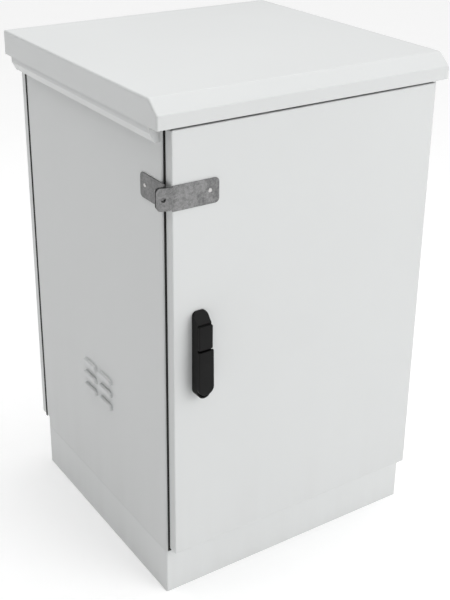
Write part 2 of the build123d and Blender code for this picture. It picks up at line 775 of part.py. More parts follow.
with BuildPart() as hasp_front_plate:
    add(folded(Plane.XY.offset(hasp_bottom), front_hasp_line, hasp_height, hasp_sheet, hasp_sheet))
    for level in (hasp_bottom, hasp_bottom + hasp_height - tab_trim):
        with BuildSketch(Plane.XY.offset(level)):
            with Locations((-hasp_front_fold - hasp_sheet - hasp_tab_length / 2, front_line_y)):
                Rectangle(hasp_tab_length, hasp_tab_length)
        extrude(amount=tab_trim, mode=Mode.SUBTRACT)
    ends = hasp_front_plate.faces().sort_by(Axis.X)
    fillet(ends[0].edges().filter_by(Axis.Z, reverse=True), hasp_corner)
    ends = hasp_front_plate.faces().sort_by(Axis.X)
    fillet(ends[-1].edges().filter_by(Axis.Y), hasp_corner)
    add(padlock_hole.part, mode=Mode.SUBTRACT)
    with BuildSketch(Plane.XZ.offset(door_face)):
        with Locations((-front_rivet_x, hasp_middle + rivet_rise)):
            Circle(rivet_radius)
    extrude(amount=hasp_sheet, mode=Mode.SUBTRACT)
hasp_front_plate.part.label = "hasp_front_plate"
export_step(hasp_front_plate.part, "parts/hasp_front_plate.step")

with BuildPart() as hasp_side_plate:
    add(folded(Plane.XY.offset(hasp_bottom), side_hasp_line, hasp_height, hasp_sheet, hasp_sheet))
    for level in (hasp_bottom, hasp_bottom + hasp_height - tab_trim):
        with BuildSketch(Plane.XY.offset(level)):
            with Locations((side_line_x - 2 * hasp_sheet - hasp_tab_length / 2, -hasp_side_fold)):
                Rectangle(hasp_tab_length, hasp_tab_length)
        extrude(amount=tab_trim, mode=Mode.SUBTRACT)
    ends = hasp_side_plate.faces().sort_by(Axis.X)
    fillet(ends[0].edges().filter_by(Axis.Z, reverse=True), hasp_corner)
    ends = hasp_side_plate.faces().sort_by(Axis.Y)
    fillet(ends[-1].edges().filter_by(Axis.X), hasp_corner)
    add(padlock_hole.part, mode=Mode.SUBTRACT)
    with BuildSketch(Plane.YZ.offset(-half_width)):
        with Locations(*[(y, hasp_middle + rivet_rise) for y in side_rivets_y]):
            Circle(rivet_radius)
    extrude(amount=-hasp_sheet, mode=Mode.SUBTRACT)
hasp_side_plate.part.label = "hasp_side_plate"
export_step(hasp_side_plate.part, "parts/hasp_side_plate.step")

rivet_level = hasp_middle + rivet_rise
front_rivet_plane = Plane(
    origin=(-front_rivet_x, -door_face - hasp_sheet, rivet_level),
    x_dir=(1, 0, 0),
    z_dir=(0, -1, 0),
)
with BuildPart() as hasp_front_rivet:
    add(blind_rivet(front_rivet_plane, hasp_sheet + door_sheet))
hasp_front_rivet.part.label = "hasp_front_rivet"
export_step(hasp_front_rivet.part, "parts/hasp_front_rivet.step")

with BuildPart() as hasp_side_rivets:
    for y in side_rivets_y:
        side_rivet_plane = Plane(
            origin=(-half_width - hasp_sheet, y, rivet_level),
            x_dir=(0, 1, 0),
            z_dir=(-1, 0, 0),
        )
        add(blind_rivet(side_rivet_plane, hasp_sheet + panel_sheet))
hasp_side_rivets.part.label = "hasp_side_rivets"
export_step(hasp_side_rivets.part, "parts/hasp_side_rivets.step")

# Handle dish: a deep moulded housing with a round foot, a sloped head and a well for lever and lock
dish_half = dish_width / 2
dish_rim = door_face + dish_depth
dish_inside = dish_half - dish_wall
dish_floor_y = door_face + dish_floor
with BuildPart() as handle_dish:
    with BuildSketch(Plane.XZ.offset(door_face)):
        with Locations((handle_x, spindle_height)):
            Circle(dish_half)
        with Locations((handle_x, (spindle_height + dish_top) / 2)):
            block = Rectangle(dish_width, dish_top - spindle_height)
        fillet(block.vertices().group_by(Axis.Y)[-1], dish_top_corner)
    extrude(amount=dish_depth)
    with BuildSketch(Plane.YZ.offset(handle_x - dish_half)):
        with BuildLine():
            Polyline(
                (-dish_rim, dish_top - dome_run),
                (-dish_rim + dome_drop, dish_top),
                (-dish_rim, dish_top),
                close=True,
            )
        make_face()
    extrude(amount=dish_width, mode=Mode.SUBTRACT)
    with BuildSketch(Plane.XZ.offset(dish_floor_y)):
        with Locations((handle_x, spindle_height)):
            Circle(dish_inside)
        with Locations((handle_x, (spindle_height + dish_cavity_top) / 2)):
            Rectangle(2 * dish_inside, dish_cavity_top - spindle_height)
    extrude(amount=dish_depth, mode=Mode.SUBTRACT)
    with BuildSketch(Plane.XZ.offset(door_face)):
        with Locations((handle_x, spindle_height)):
            Circle(spindle_radius + running_fit)
        with Locations((handle_x, cylinder_height)):
            Circle(cylinder_radius + running_fit)
    extrude(amount=dish_floor, mode=Mode.SUBTRACT)
    with BuildSketch(Plane.XZ.offset(dish_rim)):
        with Locations((handle_x, cover_pivot_height)):
            Circle(cover_pivot_radius + running_fit)
    extrude(amount=-dish_depth / 2, mode=Mode.SUBTRACT)
handle_dish.part.label = "handle_dish"
export_step(handle_dish.part, "parts/handle_dish.step")

# Handle hub: the spindle that the lever hangs on, with a tongue for its pin and a square tail
pin_y = door_face + lever_pin_depth
hub_front = pin_y - lever_ear - ear_face_gap
hub_back = dish_floor_y + seat_gap
tail_start = door_inside - square_shoulder
gearbox_back = half_depth - panel_sheet - rod_clearance - rod_thickness
cover_plate_back = gearbox_back - rod_fit - gearbox_cover_sheet
tongue_front = cover_plate_back - tongue_gap
tongue_back = tongue_front - tongue_thickness
with BuildPart() as handle_hub:
    with BuildSketch(Plane.XZ.offset(hub_back)):
        with Locations((handle_x, spindle_height)):
            Circle(hub_radius)
    extrude(amount=hub_front - hub_back)
    with BuildSketch(Plane.YZ.offset(handle_x - hub_tongue / 2)):
        with Locations((-pin_y, spindle_height)):
            Circle(lever_ear - ear_round_gap)
        with Locations((-(pin_y + hub_front) / 2, spindle_height)):
            Rectangle(pin_y - hub_front, 2 * (lever_ear - ear_round_gap))
        with Locations((-pin_y, spindle_height)):
            Circle(lever_pin_radius + running_fit, mode=Mode.SUBTRACT)
    extrude(amount=hub_tongue)
    with BuildSketch(Plane.XZ.offset(hub_back)):
        with Locations((handle_x, spindle_height)):
            Circle(spindle_radius)
    extrude(amount=tail_start - hub_back)
    with BuildSketch(Plane.XZ.offset(tail_start)):
        with Locations((handle_x, spindle_height)):
            Rectangle(spindle_square, spindle_square)
    extrude(amount=tongue_back - tail_start)
handle_hub.part.label = "handle_hub"
export_step(handle_hub.part, "parts/handle_hub.step")

# Lever: a tapered grip with a round foot, and two ears that straddle the hub's tongue
lever_under = dish_rim + lever_gap
lever_foot = lever_bottom_width / 2 - lever_foot_flat
ear_inner = hub_tongue / 2 + ear_side_gap
with BuildPart() as handle_lever:
    with BuildSketch(Plane.XZ.offset(lever_under)):
        with BuildLine():
            Polyline(
                (handle_x - lever_bottom_width / 2, lever_bottom),
                (handle_x + lever_bottom_width / 2, lever_bottom),
                (handle_x + lever_top_width / 2, lever_top),
                (handle_x - lever_top_width / 2, lever_top),
                close=True,
            )
        grip = make_face()
        fillet(grip.vertices().group_by(Axis.Y)[0], lever_foot)
        fillet(grip.vertices().group_by(Axis.Y)[-1], lever_edge)
    extrude(amount=lever_thickness)
    fillet(handle_lever.faces().sort_by(Axis.Y)[0].edges(), lever_edge)
    for way in (-1, 1):
        ear_start = handle_x + (ear_inner if way > 0 else -ear_inner - lever_ear_thickness)
        with BuildSketch(Plane.YZ.offset(ear_start)):
            with Locations((-pin_y, spindle_height)):
                Circle(lever_ear)
            with Locations((-(pin_y + lever_under + ear_root) / 2, spindle_height)):
                Rectangle(lever_under + ear_root - pin_y, 2 * lever_ear)
        extrude(amount=lever_ear_thickness)
    with BuildSketch(Plane.YZ.offset(handle_x - ear_inner - lever_ear_thickness)):
        with Locations((-pin_y, spindle_height)):
            Circle(lever_pin_radius)
    extrude(amount=2 * (ear_inner + lever_ear_thickness), mode=Mode.SUBTRACT)
handle_lever.part.label = "handle_lever"
export_step(handle_lever.part, "parts/handle_lever.step")

with BuildPart() as lever_pin:
    with BuildSketch(Plane.YZ.offset(handle_x - ear_inner - lever_ear_thickness)):
        with Locations((-pin_y, spindle_height)):
            Circle(lever_pin_radius)
    extrude(amount=2 * (ear_inner + lever_ear_thickness))
lever_pin.part.label = "lever_pin"
export_step(lever_pin.part, "parts/lever_pin.step")

# Lock cover: a moulded cap over the cylinder that turns aside on a pivot moulded with it
cover_under = dish_rim + seat_gap
cover_middle = (cover_bottom + cover_top) / 2
cover_hollow_height = 2 * (cylinder_height - cover_bottom - 2 * cover_wall)
with BuildPart() as lock_cover:
    with BuildSketch(Plane.XZ.offset(cover_under)):
        with Locations((handle_x, cover_middle)):
            RectangleRounded(cover_width, cover_top - cover_bottom, lever_edge)
    extrude(amount=cover_thickness)
    fillet(lock_cover.faces().sort_by(Axis.Y)[0].edges(), lever_edge / 2)
    with BuildSketch(Plane.XZ.offset(cover_under)):
        with Locations((handle_x, cylinder_height - cover_wall)):
            Rectangle(cover_width - 2 * cover_wall, cover_hollow_height)
    extrude(amount=cover_thickness - cover_wall, mode=Mode.SUBTRACT)
    with BuildSketch(Plane.XZ.offset(cover_under)):
        with Locations((handle_x, cover_pivot_height)):
            Circle(cover_pivot_radius)
    extrude(amount=-dish_depth / 3)
lock_cover.part.label = "lock_cover"
export_step(lock_cover.part, "parts/lock_cover.step")

# Lock cylinder: a round barrel through the dish with a plug that the key turns
cylinder_front = dish_rim - cylinder_recess
with BuildPart() as lock_cylinder:
    with BuildSketch(Plane.XZ.offset(cylinder_back)):
        with Locations((handle_x, cylinder_height)):
            Circle(cylinder_radius)
            Circle(plug_radius + running_fit, mode=Mode.SUBTRACT)
    extrude(amount=cylinder_front - cylinder_back)
lock_cylinder.part.label = "lock_cylinder"
export_step(lock_cylinder.part, "parts/lock_cylinder.step")

with BuildPart() as cylinder_plug:
    with BuildSketch(Plane.XZ.offset(cylinder_back)):
        with Locations((handle_x, cylinder_height)):
            Circle(plug_radius)
    extrude(amount=cylinder_front - cylinder_back)
    with BuildSketch(Plane.XZ.offset(cylinder_front)):
        with Locations((handle_x, cylinder_height)):
            Rectangle(key_slot_width, key_slot_length)
    extrude(amount=-key_slot_length * 2, mode=Mode.SUBTRACT)
    with BuildSketch(Plane.XZ.offset(cylinder_back)):
        with Locations((handle_x, cylinder_height - plug_radius)):
            Rectangle(plug_radius, 3 * plug_radius)
    extrude(amount=-tongue_thickness)
cylinder_plug.part.label = "cylinder_plug"
export_step(cylinder_plug.part, "parts/cylinder_plug.step")

# Gearbox: pinion on the spindle's square between two racks cut in the ends of the rods
pitch_radius = gear_module * pinion_teeth / 2
base_radius = pitch_radius * cos(radians(pressure_angle))
tip_radius = pitch_radius + gear_module
root_radius = pitch_radius - 1.25 * gear_module
tooth_pitch = pi * gear_module
rod_front = half_depth - panel_sheet - rod_clearance
rod_back = rod_front - rod_thickness


def involute_point(radius, side):
    """A point of a tooth's flank at a radius, for a tooth centred on the local X axis."""
    roll = (radius / base_radius) ** 2 - 1
    roll = roll ** 0.5 if roll > 0 else 0.0
    pressure = radians(pressure_angle)
    half_tooth = (tooth_pitch / 2 - backlash) / 2 / pitch_radius
    turn = half_tooth + tan(pressure) - pressure - (roll - atan2(roll, 1))
    return (radius * cos(side * turn), radius * sin(side * turn))


flank_steps = 4
flank_radii = [
    base_radius + (tip_radius - base_radius) * step / flank_steps
    for step in range(flank_steps + 1)
]
root_angle = degrees(atan2(*reversed(involute_point(base_radius, 1))))
root_point = (root_radius * cos(radians(root_angle)), root_radius * sin(radians(root_angle)))
with BuildSketch() as pinion_tooth:
    with BuildLine():
        Polyline(
            (0, 0),
            (root_point[0], -root_point[1]),
            *[involute_point(radius, -1) for radius in flank_radii],
            *[involute_point(radius, 1) for radius in reversed(flank_radii)],
            root_point,
            close=True,
        )
    make_face()
with BuildPart() as rod_pinion:
    with BuildSketch(Plane.XZ.offset(rod_back)):
        with Locations((handle_x, spindle_height)):
            Circle(root_radius)
            with PolarLocations(0, pinion_teeth):
                add(pinion_tooth.sketch)
    extrude(amount=rod_thickness)
    with BuildSketch(Plane.XZ.offset(rod_front)):
        with Locations((handle_x, spindle_height)):
            Circle(collar_radius)
    extrude(amount=tail_start - rod_front - collar_gap)
    with BuildSketch(Plane.XZ.offset(rod_back)):
        with Locations((handle_x, spindle_height)):
            Rectangle(spindle_square + 2 * running_fit, spindle_square + 2 * running_fit)
    extrude(amount=tail_start - rod_back, mode=Mode.SUBTRACT)
rod_pinion.part.label = "rod_pinion"
export_step(rod_pinion.part, "parts/rod_pinion.step")

# Locking rods: flat bars driven opposite ways, so that both tips leave the frame together
rack_half_tip = (tooth_pitch / 2 - backlash) / 2 - gear_module * tan(radians(pressure_angle))
rack_half_root = (tooth_pitch / 2 - backlash) / 2 + 1.25 * gear_module * tan(radians(pressure_angle))
rack_depth = 2.25 * gear_module
for name, way, tip in (("upper", 1, rod_upper_tip), ("lower", -1, rod_lower_tip)):
    root_line = handle_x - way * (pitch_radius + 1.25 * gear_module)
    outer_line = root_line - way * rod_depth
    rack_end = spindle_height - way * (rack_teeth - 1.5) * tooth_pitch
    with BuildPart() as locking_rod:
        with BuildSketch(Plane.XZ.offset(rod_back)):
            with Locations(((root_line + outer_line) / 2, (rack_end + tip) / 2)):
                Rectangle(rod_depth, abs(tip - rack_end))
            for tooth in range(rack_teeth):
                middle = spindle_height + way * (1.5 - tooth) * tooth_pitch
                with BuildLine():
                    Polyline(
                        (root_line, middle - rack_half_root),
                        (root_line + way * rack_depth, middle - rack_half_tip),
                        (root_line + way * rack_depth, middle + rack_half_tip),
                        (root_line, middle + rack_half_root),
                        close=True,
                    )
                make_face()
        extrude(amount=rod_thickness)
        tip_face = locking_rod.faces().sort_by(Axis.Z)[-1 if way > 0 else 0]
        chamfer(tip_face.edges().filter_by(Axis.X), rod_thickness / 3)
    locking_rod.part.label = f"rod_{name}"
    export_step(locking_rod.part, f"parts/rod_{name}.step")

# Gearbox housing: a cast channel on the door's inside, closed by a cover plate
box_half = pitch_radius + 1.25 * gear_module + rod_depth + rod_fit + gearbox_wall
channel_half = box_half - gearbox_wall
with BuildPart() as gearbox_housing:
    with BuildSketch(Plane.XZ.offset(gearbox_back - rod_fit)):
        with Locations((handle_x, spindle_height)):
            Rectangle(2 * box_half, gearbox_height)
    extrude(amount=door_inside - gearbox_back + rod_fit)
    with BuildSketch(Plane.XZ.offset(gearbox_back - rod_fit)):
        with Locations((handle_x, spindle_height)):
            Rectangle(2 * channel_half, gearbox_height)
    extrude(amount=rod_thickness + 2 * rod_fit, mode=Mode.SUBTRACT)
    with BuildSketch(Plane.XZ.offset(rod_front)):
        with Locations((handle_x, spindle_height)):
            Circle(collar_radius + running_fit)
    extrude(amount=door_inside - rod_front, mode=Mode.SUBTRACT)
gearbox_housing.part.label = "gearbox_housing"
export_step(gearbox_housing.part, "parts/gearbox_housing.step")

with BuildPart() as gearbox_cover:
    with BuildSketch(Plane.XZ.offset(cover_plate_back)):
        with Locations((handle_x, spindle_height)):
            Rectangle(2 * box_half, gearbox_height)
            Circle(spindle_square * 0.75, mode=Mode.SUBTRACT)
    extrude(amount=gearbox_cover_sheet)
gearbox_cover.part.label = "gearbox_cover"
export_step(gearbox_cover.part, "parts/gearbox_cover.step")

# Side tongue: a flat cam on the spindle's end that turns behind the left frame
with BuildPart() as latch_tongue:
    with BuildSketch(Plane.XZ.offset(tongue_back)):
        with Locations((handle_x, spindle_height)):
            Circle(tongue_width * 0.62)
        with Locations((handle_x, spindle_height - tongue_reach / 2)):
            Rectangle(tongue_width, tongue_reach)
        with Locations((handle_x, spindle_height)):
            Rectangle(spindle_square + 2 * running_fit, spindle_square + 2 * running_fit, mode=Mode.SUBTRACT)
    extrude(amount=tongue_thickness)
latch_tongue.part.label = "latch_tongue"
export_step(latch_tongue.part, "parts/latch_tongue.step")

with BuildPart() as tongue_screw:
    with BuildSketch(Plane.XZ.offset(tongue_back)):
        with Locations((handle_x, spindle_height)):
            RegularPolygon(spindle_square * 0.9, 6)
    extrude(amount=-tongue_thickness)
tongue_screw.part.label = "tongue_screw"
export_step(tongue_screw.part, "parts/tongue_screw.step")

# Rod guides: moulded blocks on the door's inside with a slot for the bar
for name, level, way in (("lower", guide_heights[0], -1), ("upper", guide_heights[1], 1)):
    bar_middle = handle_x - way * (pitch_radius + 1.25 * gear_module + rod_depth / 2)
    with BuildPart() as rod_guide:
        with BuildSketch(Plane.XY.offset(level - guide_size / 2)):
            with Locations((bar_middle, -(door_inside + rod_back - rod_fit - gearbox_wall) / 2)):
                Rectangle(
                    rod_depth + 2 * rod_fit + 2 * gearbox_wall,
                    door_inside - rod_back + rod_fit + gearbox_wall,
                )
            with Locations((bar_middle, -(rod_front + rod_back) / 2)):
                Rectangle(rod_depth + 2 * rod_fit, rod_thickness + 2 * rod_fit, mode=Mode.SUBTRACT)
        extrude(amount=guide_size)
    rod_guide.part.label = f"rod_guide_{name}"
    export_step(rod_guide.part, f"parts/rod_guide_{name}.step")

# Cross rails: channels along the side walls that carry the equipment rails
cross_rail_edge = half_width - panel_sheet - cross_rail_depth
for side_name, side in (("left", -1), ("right", 1)):
    for level_name, level in zip(("lower", "upper"), cross_rail_levels):
        channel_line = [
            (side * cross_rail_edge, level - cross_rail_height / 2 + half_sheet),
            (side * (half_width - 3 * half_sheet), level - cross_rail_height / 2 + half_sheet),
            (side * (half_width - 3 * half_sheet), level + cross_rail_height / 2 - half_sheet),
            (side * cross_rail_edge, level + cross_rail_height / 2 - half_sheet),
        ]
        with BuildPart() as cross_rail:
            add(folded(Plane.XZ.offset(-cross_rail_length / 2), channel_line, cross_rail_length, panel_sheet))
        cross_rail.part.label = f"cross_rail_{level_name}_{side_name}"
        export_step(cross_rail.part, f"parts/cross_rail_{level_name}_{side_name}.step")

# Equipment rails: punched angles with three square holes for each height unit
hole_steps = (rail_unit / 7, rail_unit / 2, rail_unit * 6 / 7)
hole_line_x = rail_opening / 2 + rail_hole_inset
rail_length = rail_units * rail_unit + 2 * rail_hole
for side_name, side in (("left", -1), ("right", 1)):
    rail_y = -half_depth + rail_setback
    angle_line = [
        (side * rail_opening / 2, rail_y + rail_sheet / 2),
        (side * (cross_rail_edge - rail_sheet / 2), rail_y + rail_sheet / 2),
        (side * (cross_rail_edge - rail_sheet / 2), rail_y + rail_leg),
    ]
    hole_places = [
        (side * hole_line_x, rail_bottom + rail_hole + unit * rail_unit + step)
        for unit in range(rail_units)
        for step in hole_steps
    ]
    with BuildPart() as rack_rail:
        add(folded(Plane.XY.offset(rail_bottom), angle_line, rail_length, rail_sheet))
        with BuildSketch(Plane.XZ.offset(-rail_y)):
            with Locations(*hole_places):
                Rectangle(rail_hole, rail_hole)
        extrude(amount=-rail_sheet, mode=Mode.SUBTRACT)
    rack_rail.part.label = f"rack_rail_{side_name}"
    export_step(rack_rail.part, f"parts/rack_rail_{side_name}.step")

# Vent filters: foam mats that cover the louvres from inside
filter_length = (louvre_columns - 1) * louvre_spacing + louvre_length + 2 * filter_margin
filter_height = (louvre_rows - 1) * louvre_pitch + louvre_height + 2 * filter_margin
for side_name, side in (("left", -1), ("right", 1)):
    with BuildPart() as vent_filter:
        with BuildSketch(Plane.YZ.offset(side * (half_width - panel_sheet))):
            with Locations((0, louvre_middle)):
                Rectangle(filter_length, filter_height)
        extrude(amount=-side * filter_thickness)
        inner_face = vent_filter.faces().sort_by(Axis.X)[-1 if side < 0 else 0]
        chamfer(inner_face.edges(), filter_thickness / 3)
    vent_filter.part.label = f"vent_filter_{side_name}"
    export_step(vent_filter.part, f"parts/vent_filter_{side_name}.step")

# Gland plate over the cable entry, with its glands
gland_top = plinth_height + panel_sheet + gland_plate_sheet
with BuildPart() as gland_plate:
    with BuildSketch(Plane.XY.offset(plinth_height + panel_sheet)):
        with Locations((0, entry_back)):
            Rectangle(entry_width + 2 * gland_plate_lap, entry_depth + 2 * gland_plate_lap)
            with GridLocations(gland_spacing, 1, gland_count, 1):
                Circle(gland_thread_radius + gland_hole_clearance, mode=Mode.SUBTRACT)
    extrude(amount=gland_plate_sheet)
gland_plate.part.label = "gland_plate"
export_step(gland_plate.part, "parts/gland_plate.step")

with BuildPart() as cable_glands:
    with BuildSketch(Plane.XY.offset(gland_top)):
        with Locations((0, entry_back)):
            with GridLocations(gland_spacing, 1, gland_count, 1):
                RegularPolygon(gland_nut_radius, 6)
    extrude(amount=gland_nut_height)
    with BuildSketch(Plane.XY.offset(gland_top)):
        with Locations((0, entry_back)):
            with GridLocations(gland_spacing, 1, gland_count, 1):
                Circle(gland_thread_radius)
    extrude(amount=gland_dome_height)
    with BuildSketch(Plane.XY.offset(gland_top - gland_plate_sheet - gland_nut_height)):
        with Locations((0, entry_back)):
            with GridLocations(gland_spacing, 1, gland_count, 1):
                Circle(gland_thread_radius)
    extrude(amount=gland_plate_sheet + gland_nut_height)
    with BuildSketch(Plane.XY.offset(gland_top - gland_plate_sheet)):
        with Locations((0, entry_back)):
            with GridLocations(gland_spacing, 1, gland_count, 1):
                RegularPolygon(gland_nut_radius, 6)
    extrude(amount=-gland_nut_height * 0.7)
    with BuildSketch(Plane.XY.offset(gland_top - gland_plate_sheet - gland_nut_height)):
        with Locations((0, entry_back)):
            with GridLocations(gland_spacing, 1, gland_count, 1):
                Circle(gland_bore_radius)
    extrude(amount=gland_plate_sheet + gland_nut_height + gland_dome_height, mode=Mode.SUBTRACT)
cable_glands.part.label = "cable_glands"
export_step(cable_glands.part, "parts/cable_glands.step")

# Earth stud: a threaded brass stud with its nut, beside the entry
with BuildPart() as earth_stud:
    with BuildSketch(Plane.XY.offset(plinth_height)):
        with Locations((earth_stud_x, earth_stud_y)):
            Circle(earth_stud_radius)
    extrude(amount=earth_stud_height)
    with BuildSketch(Plane.XY.offset(plinth_height + panel_sheet)):
        with Locations((earth_stud_x, earth_stud_y)):
            RegularPolygon(earth_stud_radius * 1.9, 6)
    extrude(amount=earth_stud_radius * nut_height_ratio)
earth_stud.part.label = "earth_stud"
export_step(earth_stud.part, "parts/earth_stud.step")

# Plinth bolts: through the base tray and the plinth's upper flange, with nuts below
plinth_bolt_places = [
    (x, y)
    for x in (-plinth_bolt_x / 2, plinth_bolt_x / 2)
    for y in (-plinth_bolt_y, plinth_bolt_y)
]
with BuildPart() as plinth_bolts:
    with BuildSketch(Plane.XY.offset(plinth_height + panel_sheet)):
        with Locations(*plinth_bolt_places):
            RegularPolygon(plinth_bolt_radius * 1.9, 6)
    extrude(amount=plinth_bolt_radius * head_height_ratio)
    with BuildSketch(Plane.XY.offset(plinth_height + panel_sheet)):
        with Locations(*plinth_bolt_places):
            Circle(plinth_bolt_radius)
    extrude(amount=-panel_sheet - plinth_sheet - 2.4 * plinth_bolt_radius)
    with BuildSketch(Plane.XY.offset(plinth_height - plinth_sheet)):
        with Locations(*plinth_bolt_places):
            RegularPolygon(plinth_bolt_radius * 1.9, 6)
    extrude(amount=-plinth_bolt_radius * nut_height_ratio)
plinth_bolts.part.label = "plinth_bolts"
export_step(plinth_bolts.part, "parts/plinth_bolts.step")
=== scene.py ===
from math import cos, pi, radians, sin

import bmesh
import bpy
from mathutils import Matrix, Vector


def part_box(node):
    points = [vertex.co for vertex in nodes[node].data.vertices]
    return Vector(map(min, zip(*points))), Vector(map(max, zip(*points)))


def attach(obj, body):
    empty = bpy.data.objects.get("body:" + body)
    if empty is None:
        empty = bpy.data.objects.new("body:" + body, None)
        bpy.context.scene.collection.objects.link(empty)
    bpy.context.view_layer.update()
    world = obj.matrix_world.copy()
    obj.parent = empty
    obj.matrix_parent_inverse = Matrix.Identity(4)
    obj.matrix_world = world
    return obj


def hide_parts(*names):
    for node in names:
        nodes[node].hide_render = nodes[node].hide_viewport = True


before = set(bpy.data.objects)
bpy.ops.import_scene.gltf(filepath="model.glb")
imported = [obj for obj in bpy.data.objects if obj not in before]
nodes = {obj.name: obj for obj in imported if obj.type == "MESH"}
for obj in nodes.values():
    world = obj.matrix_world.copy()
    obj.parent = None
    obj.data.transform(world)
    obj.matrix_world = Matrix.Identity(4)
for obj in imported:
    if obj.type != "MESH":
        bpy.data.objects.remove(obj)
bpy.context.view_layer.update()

# Body sheets: side panels, door frame rails, roof cap, skirts, door and rear panel.
# They are folded from sheet steel, zinc primed and powder coated light grey, with the
# fine orange peel, faint clouding and low sheen that such a coat has.


class Value:
    """A socket of a finish. Arithmetic on it adds the nodes that work it out."""

    def __init__(self, finish, socket):
        self.finish = finish
        self.socket = socket

    def maths(self, operation, first, second=0.0, clamp=False):
        settings = {"operation": operation, "use_clamp": clamp}
        return self.finish.node("ShaderNodeMath", settings, {0: first, 1: second})

    def __add__(self, other):
        return self.maths("ADD", self, other)

    def __radd__(self, other):
        return self.maths("ADD", other, self)

    def __rsub__(self, other):
        return self.maths("SUBTRACT", other, self)

    def __mul__(self, other):
        return self.maths("MULTIPLY", self, other)

    def __rmul__(self, other):
        return self.maths("MULTIPLY", other, self)

    def __truediv__(self, other):
        return self.maths("DIVIDE", self, other)

    def __pow__(self, other):
        return self.maths("POWER", self, other)

    def within_one(self):
        return self.maths("ADD", self, 0.0, clamp=True)


class Finish:
    """A material whose pattern lies on the object's own coordinates, in metres."""

    def __init__(self, name, constants):
        self.material = bpy.data.materials.new(name)
        self.material.use_nodes = True
        self.tree = self.material.node_tree
        self.shader = self.tree.nodes["Principled BSDF"]
        self.place = self.node("ShaderNodeTexCoord", output="Object")
        self.surface(constants)

    def node(self, kind, settings=None, values=None, output=0):
        made = self.tree.nodes.new(kind)
        for key, setting in (settings or {}).items():
            if key == "stops":
                for stop, (position, shade) in zip(made.color_ramp.elements, setting):
                    stop.position = position
                    stop.color = (shade, shade, shade, 1.0)
            else:
                setattr(made, key, setting)
        for key, value in (values or {}).items():
            self.feed(made.inputs[key], value)
        return Value(self, made.outputs[output])

    def feed(self, socket, value):
        if isinstance(value, Value):
            self.tree.links.new(value.socket, socket)
        else:
            socket.default_value = value

    def surface(self, values):
        for key, value in values.items():
            self.feed(self.shader.inputs[key], value)

    def noise(self, scale, detail=2.0, stretch=(1.0, 1.0, 1.0)):
        spread = self.node("ShaderNodeMapping", None, {"Vector": self.place, "Scale": stretch})
        values = {"Vector": spread, "Scale": scale, "Detail": detail}
        return self.node("ShaderNodeTexNoise", None, values)

    def cells(self, scale, output="Distance"):
        values = {"Vector": self.place, "Scale": scale}
        return self.node("ShaderNodeTexVoronoi", None, values, output)

    def up(self):
        return self.node("ShaderNodeSeparateXYZ", None, {0: self.place}, "Z")

    def ramp(self, value, low, high):
        return self.node("ShaderNodeValToRGB", {"stops": [(low, 0.0), (high, 1.0)]}, {"Fac": value})

    def tint(self, factor, first, second):
        values = {0: factor, 6: first, 7: second}
        return self.node("ShaderNodeMix", {"data_type": "RGBA"}, values, 2)

    def bump(self, height, depth, strength=1.0):
        values = {"Strength": strength, "Distance": depth, "Height": height}
        return self.node("ShaderNodeBump", None, values, "Normal")


def grey(level, warmth=0.0):
    """An opaque grey, a little yellower with warmth and a little bluer without it."""
    return (level * (1 + warmth), level, level * (1 - warmth), 1.0)


def dress(finish, *names):
    """Gives CAD nodes their finish and leaves their shape alone."""
    for name in names:
        node = nodes[name]
        if not node.material_slots:
            node.data.materials.append(finish.material)
        for place in node.material_slots:
            place.material = finish.material


coat_hue = (0.982, 1.0, 0.997)


def coated(level):
    """The coat's light grey, which has a very slight green cast."""
    return tuple(level * part for part in coat_hue) + (1.0,)


def powder_coat(name, level, sheen, dust_height):
    """Powder coat with dust that thins out upwards over dust_height."""
    coat = Finish(name, {"Specular IOR Level": 0.5})
    clouds = coat.noise(2.6, 3.0)
    washed = coat.noise(1.0, 5.0, (26.0, 26.0, 1.6))
    peel = coat.noise(210.0, 2.0)
    grain = coat.noise(1500.0, 1.0)
    dust = (1.0 - coat.up() / dust_height).within_one() ** 2.0 * coat.ramp(washed, 0.35, 0.75)
    tone = coat.tint(coat.ramp(clouds, 0.3, 0.7), coated(level * 0.975), coated(level))
    tone = coat.tint(dust * 0.14, tone, grey(level * 0.62, 0.05))
    coat.surface({
        "Base Color": tone,
        "Roughness": sheen + 0.06 * clouds + 0.05 * washed + 0.12 * dust,
        "Normal": coat.bump(peel + 0.35 * grain, 0.00005, 0.55),
    })
    return coat


body_level = 0.70
body_coat = powder_coat("cabinet_coat", body_level, 0.30, 0.42)
dress(
    body_coat,
    "side_panel_left", "side_panel_right", "front_head_rail", "front_sill_rail",
    "rear_head_rail", "rear_sill_rail", "roof_cap", "drip_skirt_left", "drip_skirt_right",
    "rear_panel", "door_panel",
)

# Inner sheets: trays, roof channels, rails along the walls and the door's stiffener.
# The same coat, laid on thinner inside, so a little duller and without road dust.
inner_level = 0.64
inner_coat = powder_coat("inner_coat", inner_level, 0.40, 0.14)
dress(
    inner_coat,
    "base_tray", "top_tray", "roof_channel_front", "roof_channel_rear", "door_stiffener",
    *[f"cross_rail_{level}_{side}" for level in ("upper", "lower") for side in ("left", "right")],
)

# Plinth: a welded frame of folded sheet that carries the body and is bolted down.
# It has the body's coat, with more of the ground's dust on it.
plinth_level = 0.74
plinth_coat = powder_coat("plinth_coat", plinth_level, 0.34, 0.15)
dress(plinth_coat, "plinth")

# Hasp and gland plate: punched from hot dip galvanised sheet and left bare.
# Zinc grows in flat crystals, each with its own shade, under a thin white bloom.


